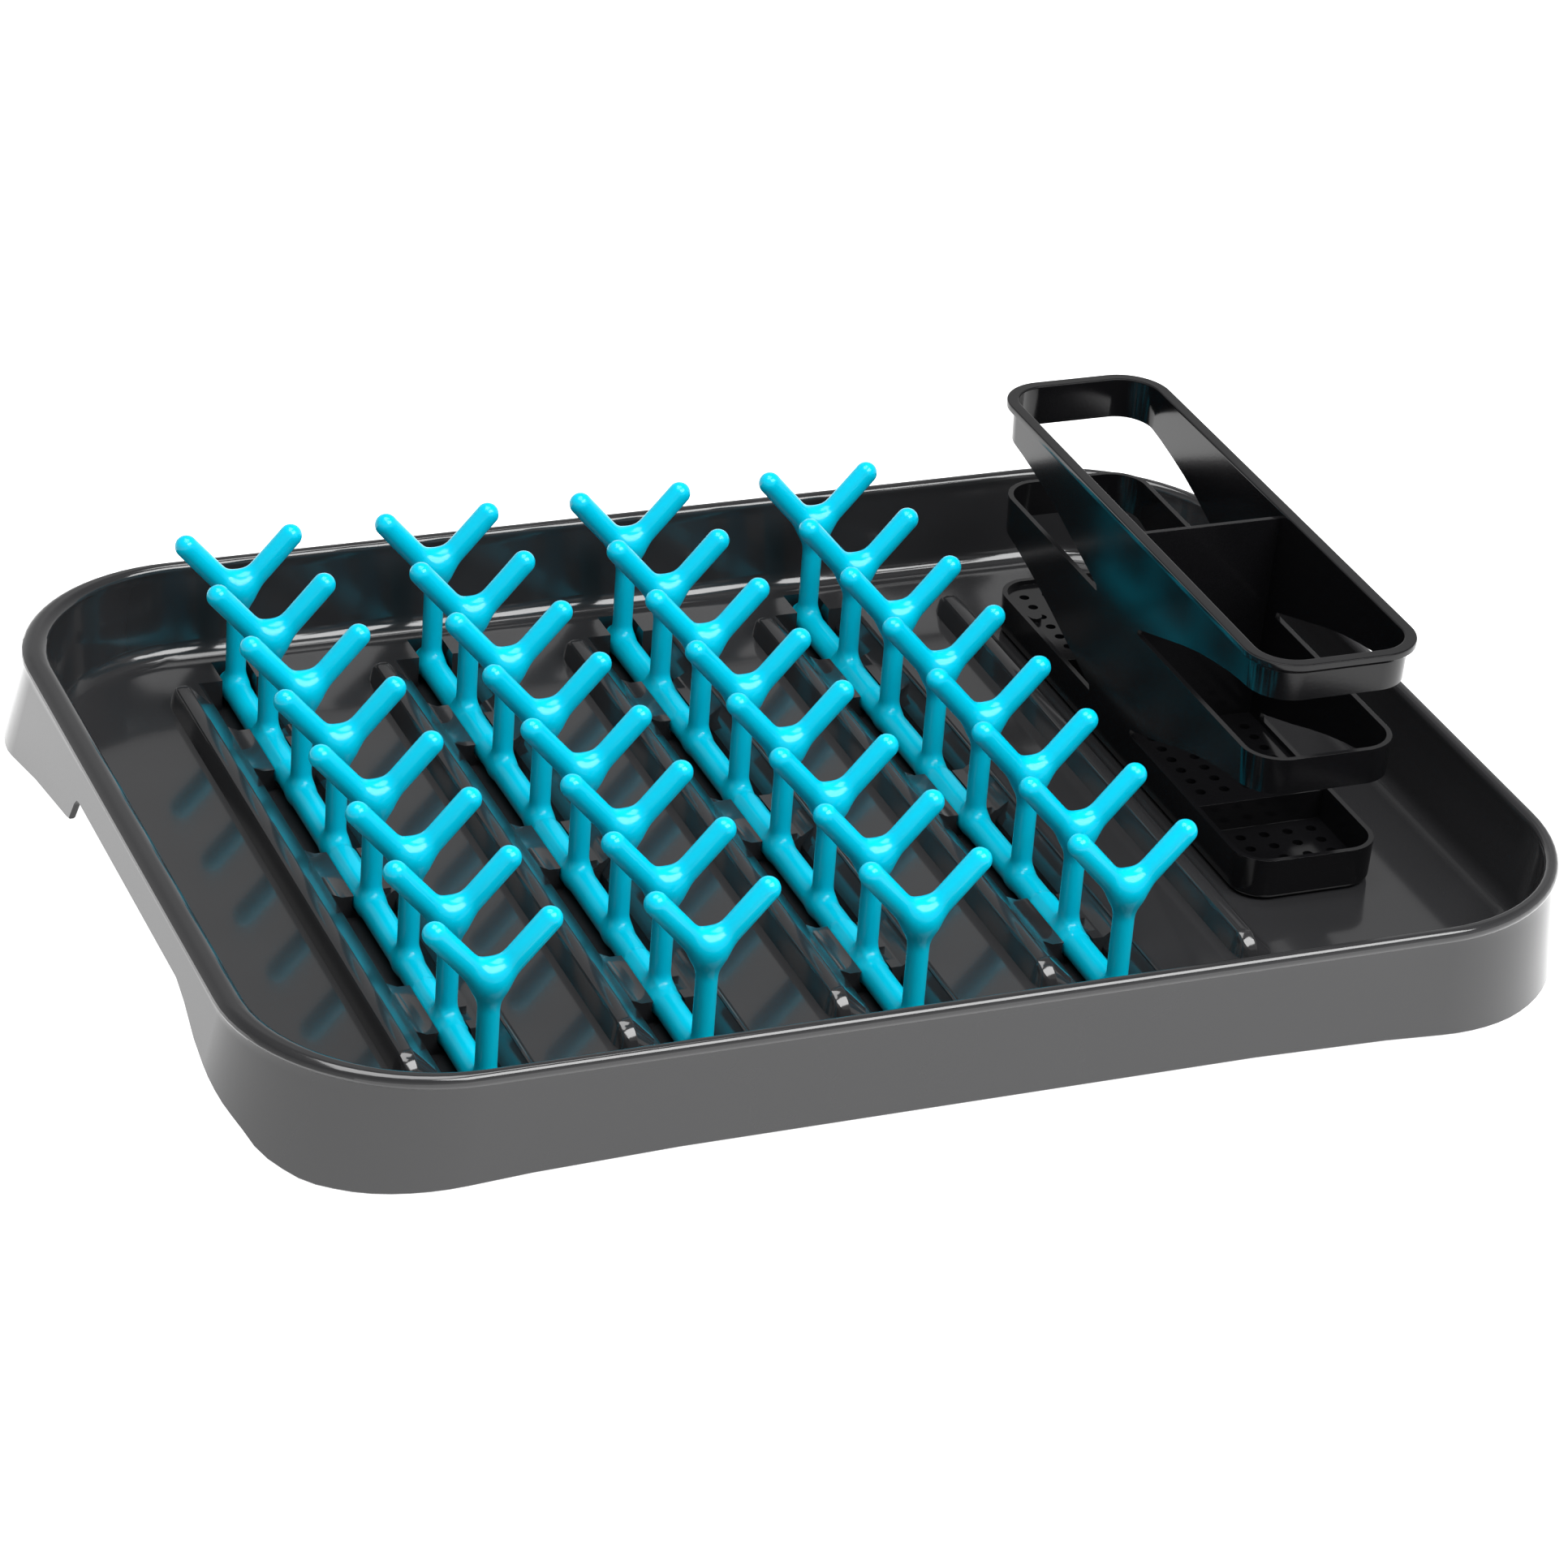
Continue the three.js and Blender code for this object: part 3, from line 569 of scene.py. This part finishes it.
def swing_notch(x, y):
    """The room a post needs to swing down through the right-hand side of a saddle."""
    start = (SWING_CLEAR * math.cos(FOLD_LIMIT), SPINE_Z - SWING_CLEAR * math.sin(FOLD_LIMIT))
    end = (SWING_REACH, start[1] + (SWING_REACH - start[0]) / math.tan(FOLD_LIMIT))
    profile = [(0, SPINE_Z), start, end, (SWING_REACH, CUT_TOP), (0, CUT_TOP)]
    return prism_y("notch", profile, x, y - SWING_CLEAR, y + SWING_CLEAR)


def spine_bore(x, y):
    profile = arc((0, SPINE_Z), SADDLE_BORE, 0, 360, SADDLE_BORE_SIDES)[:-1]
    half = SADDLE_LENGTH / 2
    return prism_y("bore", profile, x, y - half - OVERLAP, y + half + OVERLAP)


def foot_rod(name, x, y, size):
    radius, bottom, top = size
    return rod(name, x, y, bottom, top, radius, FOOT_SIDES)


def make_tray():
    tray = tray_shell()
    feet = [centre_of(n) for n in PAD_NODES]
    ridge_xs = RACK_XS + [RACK_XS[-1] + RACK_PITCH]
    add(tray, [ridge(x, 0) for x in ridge_xs])
    add(tray, [tool for x in RACK_XS for tool in channel(x, CHANNEL_WALL)])
    add(tray, [prism_y("lip", LIP_PROFILE, x, *CHANNEL_ENDS) for x in RACK_XS])
    add(tray, [foot_rod("post", x, y, FOOT_POST) for x, y in feet])
    cut(tray, [tool for x in RACK_XS for tool in channel(x, 0)])
    cut(tray, [ridge(x, RIDGE_WALL) for x in ridge_xs])
    cut(tray, [foot_rod("socket", x, y, FOOT_BORE) for x, y in feet])
    half = SADDLE_LENGTH / 2
    for x in RACK_XS:
        add(tray, [prism_y("saddle", SADDLE_PROFILE, x, y - half, y + half) for y in SADDLE_YS])
        cut(tray, [spine_bore(x, y) for y in SADDLE_YS])
        near = [y for y in PRONG_YS if any(abs(y - s) < half + SWING_CLEAR for s in SADDLE_YS)]
        cut(tray, [swing_notch(x, y) for y in near])
    round_edges(tray, TRAY_EDGE)
    return shade(tray)


def centre_of(node):
    low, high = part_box(node)
    return (low.x + high.x) / 2 / MM, (low.y + high.y) / 2 / MM


def blend_min(a, b, width):
    """The lesser of two distances, with a fillet of about that width where they meet."""
    h = np.clip(1 - np.abs(a - b) / width, 0, None)
    return np.minimum(a, b) - h * h * width / 4


def segment_distance(points, start, end, radius):
    start, end = np.array(start, float), np.array(end, float)
    along = end - start
    t = np.clip(((points - start) @ along) / (along @ along), 0, 1)
    return np.linalg.norm(points - start - t[:, None] * along, axis=1) - radius


def bar_distance(points):
    """Distance from the spine: a round bar along Y whose two ends have rounded edges."""
    middle, half = (SPINE_ENDS[0] + SPINE_ENDS[1]) / 2, (SPINE_ENDS[1] - SPINE_ENDS[0]) / 2
    side = np.hypot(points[:, 0], points[:, 2]) - SPINE_RADIUS + SPINE_END_ROUND
    end = np.abs(points[:, 1] - middle) - half + SPINE_END_ROUND
    outside = np.hypot(np.maximum(side, 0), np.maximum(end, 0))
    return outside + np.minimum(np.maximum(side, end), 0) - SPINE_END_ROUND


def arm_distance(points, side):
    """Distance from the left (-1) or right (1) arm of a prong."""
    root = (side * ARM_ROOT, 0, FORK_HEIGHT)
    tip = (side * ARM_TIP[0], 0, ARM_TIP[1])
    return segment_distance(points, root, tip, ARM_RADIUS)


def rack_distance(points):
    """Distance from a rack's skin, with the spine's axis as the origin of x and z."""
    rows = np.array(PRONG_YS)
    nearest = rows[np.abs(points[:, 1, None] - rows).argmin(axis=1)]
    local = points.copy()
    local[:, 1] -= nearest
    fork = (0, 0, FORK_HEIGHT)
    post = segment_distance(local, (0, 0, 0), fork, POST_RADIUS)
    left, right = (arm_distance(local, side) for side in (-1, 1))
    prong = blend_min(blend_min(left, right, CROTCH_BLEND), post, FORK_BLEND)
    spine = bar_distance(points)
    facets = [math.radians(360 / JOURNAL_SIDES * i) for i in range(JOURNAL_SIDES)]
    octagon = np.max([points[:, 0] * math.cos(a) + points[:, 2] * math.sin(a) for a in facets], axis=0)
    octagon -= JOURNAL_RADIUS * math.cos(math.radians(180 / JOURNAL_SIDES))
    middle = np.min([np.abs(points[:, 1] - y) for y in SADDLE_YS], axis=0)
    journal = np.maximum(octagon, middle - JOURNAL_HALF)
    spine = blend_min(spine, journal, JOURNAL_BLEND)
    return blend_min(prong, spine, ROOT_BLEND)


def surface_net(distance, low, high, step):
    """Quads over the zero surface of a distance function, one vertex to each cell it crosses."""
    axes = [np.arange(a, b + step, step) for a, b in zip(low, high)]
    grid = np.stack(np.meshgrid(*axes, indexing="ij"), axis=-1)
    values = distance(grid.reshape(-1, 3)).reshape(grid.shape[:3])
    cells = tuple(n - 1 for n in values.shape)
    total = np.zeros(cells + (3,))
    count = np.zeros(cells)
    corners = list(itertools.product((0, 1), repeat=3))
    for a, b in itertools.combinations(corners, 2):
        if sum(abs(p - q) for p, q in zip(a, b)) != 1:
            continue
        va, vb = (values[tuple(slice(c, n + c) for c, n in zip(corner, cells))] for corner in (a, b))
        crossed = (va < 0) != (vb < 0)
        share = np.where(crossed, va / np.where(crossed, va - vb, 1), 0)[..., None]
        total += crossed[..., None] * (np.array(a) + share * (np.array(b) - np.array(a)))
        count += crossed
    used = count > 0
    number = np.full(cells, -1)
    number[used] = np.arange(used.sum())
    places = np.argwhere(used) + total[used] / count[used][:, None]
    points = np.array(low) + places * step
    faces = []
    inside = values < 0
    for axis in range(3):
        u, v = (axis + 1) % 3, (axis + 2) % 3
        first = np.take(inside, range(values.shape[axis] - 1), axis)
        second = np.take(inside, range(1, values.shape[axis]), axis)
        for i, j, k in np.argwhere(first != second):
            spot = np.array((i, j, k))
            around = []
            for du, dv in ((0, 0), (-1, 0), (-1, -1), (0, -1)):
                cell = spot.copy()
                cell[u] += du
                cell[v] += dv
                around.append(int(number[tuple(cell)]))
            faces.append(around if first[i, j, k] else around[::-1])
    for _ in range(NEWTON_STEPS):
        points -= newton_step(distance, points)
    return points, faces


def newton_step(distance, points):
    """How far each point must move to reach the zero surface."""
    reach = 0.01
    value = distance(points)
    slope = np.stack([(distance(points + reach * axis) - value) / reach for axis in np.eye(3)], axis=1)
    return value[:, None] * slope / (slope * slope).sum(axis=1)[:, None]


def make_racks():
    """One mesh, shared by the four racks."""
    reach = ARM_TIP[0] + ARM_RADIUS + GRID_MARGIN
    low = (-reach, SPINE_ENDS[0] - GRID_MARGIN, -JOURNAL_RADIUS - GRID_MARGIN)
    high = (reach, SPINE_ENDS[1] + GRID_MARGIN, ARM_TIP[1] + ARM_RADIUS + GRID_MARGIN)
    step = GRID_STEP * 1
    points, faces = surface_net(rack_distance, low, high, step)
    racks = []
    for node, x in zip(RACK_NODES, RACK_XS):
        if not racks:
            obj = new_piece(node + "_body", points, faces)
            obj.data.polygons.foreach_set("use_smooth", [True] * len(obj.data.polygons))
        else:
            obj = bpy.data.objects.new(node + "_body", racks[0].data)
            bpy.context.scene.collection.objects.link(obj)
        obj.location = (x * MM, 0, SPINE_Z * MM)
        racks.append(obj)
    return racks


def caddy_ring(z, offset):
    """The caddy's outer face at height z, grown by offset."""
    t = min(max((z - CADDY_BOTTOM) / (CADDY_TOP - CADDY_BOTTOM), 0), 1)
    half_x, half_y, radius = (a + b * t for a, b in zip(CADDY_HALF, CADDY_DRAFT))
    box = (CADDY_X - half_x, CADDY_X + half_x, CADDY_Y - half_y, CADDY_Y + half_y, radius)
    return rounded_ring(box, z, offset, CADDY_CORNER_SEGMENTS)


def caddy_slice(name, z0, z1, inset, y0, y1):
    """The part of the caddy's inside between two heights and two values of y."""
    fill = loft(name, [caddy_ring(z0, -inset), caddy_ring(z1, -inset)])
    reach = CADDY_HALF[0] + CADDY_DRAFT[0]
    keep = block("keep", (CADDY_X - reach, y0, z0 - OVERLAP), (CADDY_X + reach, y1, z1 + OVERLAP))
    return combine(fill, [keep], "INTERSECT")


def slot_profiles(edge, base):
    """A front slot from its upper edge, and its mirror image for the rear end."""
    front = [(edge[0][0], base)] + edge + [(SLOT_REACH, edge[-1][1]), (SLOT_REACH, base)]
    rear = [(2 * STRIP_MIDDLE_Y - y, z) for y, z in front]
    return front, rear


def caddy_divider():
    half = DIVIDER_THICKNESS / 2
    ends = (DIVIDER_Y - half, DIVIDER_Y + half)
    return caddy_slice("divider", DEEP_FLOOR_TOP, DIVIDER_TOP, CADDY_WALL / 2, *ends)


def caddy_knob():
    x, y, radius, height = CADDY_KNOB
    shoulder = height - radius
    dome = [(radius, -KNOB_ROOT), (radius, shoulder)] + arc((0, shoulder), radius, *KNOB_TURN)
    return lathe("knob", x, y, [(r, RAISED_FLOOR_TOP + z) for r, z in dome], KNOB_SIDES)


def drain_holes():
    holes = []
    middle = (HOLE_COLUMNS - 1) / 2
    for first_y, rows, floor in HOLE_FIELDS:
        for row, column in itertools.product(range(rows), range(HOLE_COLUMNS)):
            x = CADDY_X + (column - middle) * HOLE_COLUMN_PITCH
            y = first_y + row * HOLE_ROW_PITCH
            holes.append(rod("hole", x, y, floor - HOLE_DEPTH, floor + OVERLAP, HOLE_RADIUS, HOLE_SIDES))
    return holes


def make_caddy():
    """The caddy. Its drain holes come after the bevel, which would spoil floors that are full of holes."""
    caddy = loft("cutlery_caddy_body", [caddy_ring(z, offset) for z, offset in CADDY_FOOT + CADDY_SIDE])
    front, back = CADDY_BEYOND
    wells = [(front, FRONT_STEP_Y - STEP_WALL), (DIVIDER_Y, REAR_STEP_Y - STEP_WALL)]
    top = RAISED_FLOOR_TOP + OVERLAP
    cut(caddy, [caddy_slice("well", DEEP_FLOOR_TOP, top, CADDY_WALL, a, b) for a, b in wells])
    add(caddy, [caddy_divider()])
    add(caddy, [caddy_knob()])
    raised = [(FRONT_STEP_Y, DIVIDER_Y - STEP_WALL), (REAR_STEP_Y, back)]
    low, high = CADDY_BOTTOM - UNDERSIDE_REACH, RAISED_FLOOR_TOP - CADDY_WALL
    cut(caddy, [caddy_slice("underside", low, high, UNDERSIDE_INSET, a, b) for a, b in raised])
    for edge, base in zip((UPPER_SLOT, LOWER_SLOT), SLOT_BASES):
        for profile in slot_profiles(edge, base):
            cut(caddy, [prism_x("slot", profile, CADDY_X - SLOT_HALF_WIDTH, CADDY_X + SLOT_HALF_WIDTH)])
    round_edges(caddy, CADDY_EDGE)
    cut(caddy, drain_holes())
    return shade(caddy)


def make_pad(node):
    x, y = centre_of(node)
    plug_radius, plug_top = PAD_PLUG
    foot, shoulder, chamfer = PAD_FOOT_ROUND, PAD_SHOULDER_ROUND, PAD_PLUG_CHAMFER
    profile = [(PAD_RADIUS - inward, z) for inward, z in PAD_HOLLOW]
    profile += arc((PAD_RADIUS - foot, foot), foot, -90, 0, 5)
    profile += arc((PAD_RADIUS - shoulder, PAD_SHOULDER - shoulder), shoulder, 0, 90, 4)
    profile += [(plug_radius, PAD_SHOULDER), (plug_radius, plug_top - chamfer)]
    profile.append((plug_radius - chamfer, plug_top))
    return smooth(lathe(node + "_body", x, y, profile, PAD_SIDES), PAD_SHARP_ANGLE)


def plastic(name, colour, roughness, coat, bump, grain=PLASTIC_GRAIN, scatter=0.0, shine=0.5):
    """Moulded plastic: a base colour that drifts a little, fine relief and uneven gloss."""
    material = bpy.data.materials.new(name)
    material.use_nodes = True
    nodes, links = material.node_tree.nodes, material.node_tree.links
    shader = nodes["Principled BSDF"]
    place = nodes.new("ShaderNodeTexCoord")
    flow = nodes.new("ShaderNodeTexNoise")
    flow.inputs["Scale"].default_value = DRIFT_SCALE
    flow.inputs["Detail"].default_value = DRIFT_DETAIL
    tint = nodes.new("ShaderNodeMapRange")
    tint.inputs["To Min"].default_value = COLOUR_DRIFT[0]
    tint.inputs["To Max"].default_value = COLOUR_DRIFT[1]
    shade = nodes.new("ShaderNodeMix")
    shade.data_type = "RGBA"
    shade.blend_type = "MULTIPLY"
    shade.inputs["Factor"].default_value = 1.0
    shade.inputs["A"].default_value = (*colour, 1)
    gloss = nodes.new("ShaderNodeMapRange")
    gloss.inputs["To Min"].default_value = roughness * GLOSS_DRIFT[0]
    gloss.inputs["To Max"].default_value = roughness * GLOSS_DRIFT[1]
    fine = nodes.new("ShaderNodeTexNoise")
    fine.inputs["Scale"].default_value = grain
    fine.inputs["Detail"].default_value = RELIEF_DETAIL
    relief = nodes.new("ShaderNodeBump")
    relief.inputs["Strength"].default_value = bump
    relief.inputs["Distance"].default_value = RELIEF_DEPTH
    links.new(place.outputs["Object"], flow.inputs["Vector"])
    links.new(place.outputs["Object"], fine.inputs["Vector"])
    links.new(flow.outputs["Fac"], tint.inputs["Value"])
    links.new(tint.outputs["Result"], shade.inputs["B"])
    links.new(shade.outputs["Result"], shader.inputs["Base Color"])
    links.new(flow.outputs["Fac"], gloss.inputs["Value"])
    links.new(gloss.outputs["Result"], shader.inputs["Roughness"])
    links.new(fine.outputs["Fac"], relief.inputs["Height"])
    links.new(relief.outputs["Normal"], shader.inputs["Normal"])
    shader.inputs["IOR"].default_value = PLASTIC_IOR
    shader.inputs["Specular IOR Level"].default_value = shine
    shader.inputs["Coat Weight"].default_value = coat
    shader.inputs["Coat Roughness"].default_value = COAT_ROUGHNESS
    shader.inputs["Subsurface Weight"].default_value = scatter
    shader.inputs["Subsurface Scale"].default_value = SCATTER_DEPTH
    return material


def dress(obj, body, material, slot, *nodes):
    obj.data.materials.clear()
    obj.data.materials.append(material)
    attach(obj, body)
    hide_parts(*nodes)


def make_camera():
    camera = bpy.data.cameras.new("camera")
    camera.sensor_fit = "HORIZONTAL"
    camera.sensor_width = CAMERA_SENSOR
    camera.lens = CAMERA_LENS
    camera.shift_x, camera.shift_y = CAMERA_SHIFT
    camera.clip_end = CAMERA_FAR
    obj = bpy.data.objects.new("camera", camera)
    bpy.context.scene.collection.objects.link(obj)
    facing = CAMERA_LOOK.to_track_quat("-Z", "Y").to_matrix().to_4x4()
    obj.matrix_world = Matrix.Translation(CAMERA_PLACE) @ facing @ Matrix.Rotation(CAMERA_ROLL, 4, "Z")
    bpy.context.scene.camera = obj


def make_light(name, place, size, power):
    light = bpy.data.lights.new(name, "AREA")
    light.shape = "RECTANGLE"
    light.size, light.size_y = size
    light.energy = power
    obj = bpy.data.objects.new(name, light)
    bpy.context.scene.collection.objects.link(obj)
    obj.location = place
    obj.rotation_euler = (-Vector(place)).to_track_quat("-Z", "Y").to_euler()


def make_surround():
    world = bpy.data.worlds.new("studio")
    world.use_nodes = True
    nodes, links = world.node_tree.nodes, world.node_tree.links
    direction = nodes.new("ShaderNodeTexCoord")
    split = nodes.new("ShaderNodeSeparateXYZ")
    spread = nodes.new("ShaderNodeMapRange")
    spread.inputs["From Min"].default_value = -1.0
    ramp = nodes.new("ShaderNodeValToRGB")
    while len(ramp.color_ramp.elements) < len(SURROUND):
        ramp.color_ramp.elements.new(0.5)
    for element, (height, grey) in zip(ramp.color_ramp.elements, SURROUND):
        element.position = (height + 1) / 2
        element.color = (grey, grey, grey, 1)
    links.new(direction.outputs["Generated"], split.inputs["Vector"])
    links.new(split.outputs["Z"], spread.inputs["Value"])
    links.new(spread.outputs["Result"], ramp.inputs["Fac"])
    links.new(ramp.outputs["Color"], nodes["Background"].inputs["Color"])
    return world


def make_stage():
    points = [(x * TABLE_HALF, y * TABLE_HALF, 0) for x, y in ((-1, -1), (1, -1), (1, 1), (-1, 1))]
    mesh = bpy.data.meshes.new("floor")
    mesh.from_pydata(points, [], [(0, 1, 2, 3)])
    floor = bpy.data.objects.new("floor", mesh)
    bpy.context.scene.collection.objects.link(floor)
    material = bpy.data.materials.new("floor_paper")
    material.use_nodes = True
    shader = material.node_tree.nodes["Principled BSDF"]
    shader.inputs["Base Color"].default_value = TABLE_COLOUR
    shader.inputs["Roughness"].default_value = TABLE_ROUGHNESS
    shader.inputs["Specular IOR Level"].default_value = TABLE_SHINE
    shader.inputs["Emission Color"].default_value = (1, 1, 1, 1)
    shader.inputs["Emission Strength"].default_value = TABLE_GLOW
    mesh.materials.append(material)
    bpy.context.scene.world = make_surround()
    bpy.context.scene.view_settings.view_transform = "Standard"


GREY = plastic("grey_gloss_plastic", colour=(0.018, 0.018, 0.019), roughness=0.12, coat=0.2, bump=0.015)
CYAN = plastic(
    "cyan_satin_plastic", colour=(0.0, 0.45, 0.62), roughness=0.18, coat=0.08, bump=0.015, scatter=0.05,
    shine=0.2,
)
BLACK = plastic(
    "black_gloss_plastic", colour=(0.004, 0.004, 0.0045), roughness=0.14, coat=0.0, bump=0.03, shine=0.35,
)
RUBBER = plastic(
    "black_rubber", colour=(0.012, 0.012, 0.012), roughness=0.8, coat=0.0, bump=0.3, grain=RUBBER_GRAIN,
)

tray = make_tray()
dress(tray, "tray", GREY, "tray_plastic", "tray")
for node, rack in zip(RACK_NODES, make_racks()):
    dress(rack, node, CYAN, "rack_plastic", node)
caddy = make_caddy()
dress(caddy, "cutlery_caddy", BLACK, "caddy_plastic", "cutlery_caddy")
for node in PAD_NODES:
    dress(make_pad(node), "tray", RUBBER, "pad_rubber", node)

make_camera()
make_stage()
for name, place, size, power in SOFTBOXES:
    make_light(name, place, size, power)
